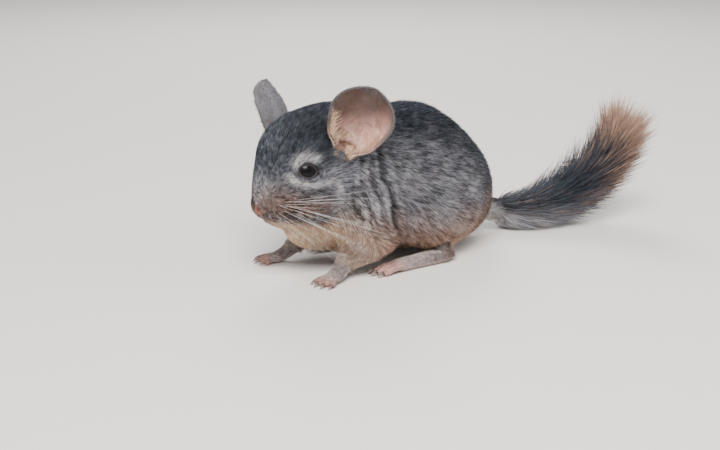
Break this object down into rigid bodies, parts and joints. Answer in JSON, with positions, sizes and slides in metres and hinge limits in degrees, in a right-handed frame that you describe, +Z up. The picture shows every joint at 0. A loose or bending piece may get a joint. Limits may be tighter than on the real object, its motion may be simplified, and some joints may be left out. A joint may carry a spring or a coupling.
{
  "type": "chinchilla figure",
  "caption": "Life-size still model of a young grey chinchilla crouched on all four feet with its bushy tail raised behind it.",
  "frame": {"origin": "on the floor, under the centre of the model's bounding box", "axes": "+X from the nose towards the tail, +Y to the animal's right, +Z up"},
  "size_m": [0.2188, 0.1, 0.0866],
  "materials": {
    "coat": "dense soft fur, slate grey ticked with silver over a buff belly",
    "brush": "long coarse hair, dark grey-brown with buff tips",
    "foot": "bare pinkish-grey skin",
    "ear": "thin, nearly bare pinkish-brown skin",
    "eye": "wet, glossy, nearly black"
  },
  "bodies": {
    "root": {"head": "coat", "neck": "coat", "torso": "coat", "foreleg_left": "coat", "foreleg_right": "coat", "thigh_left": "coat", "thigh_right": "coat", "tail_base": "coat", "tail_brush": "brush", "forepaw_left": "foot", "forepaw_right": "foot", "hindfoot_left": "foot", "hindfoot_right": "foot", "ear_left": "ear", "ear_right": "ear", "eye_left": "eye", "eye_right": "eye"}
  },
  "joints": []
}
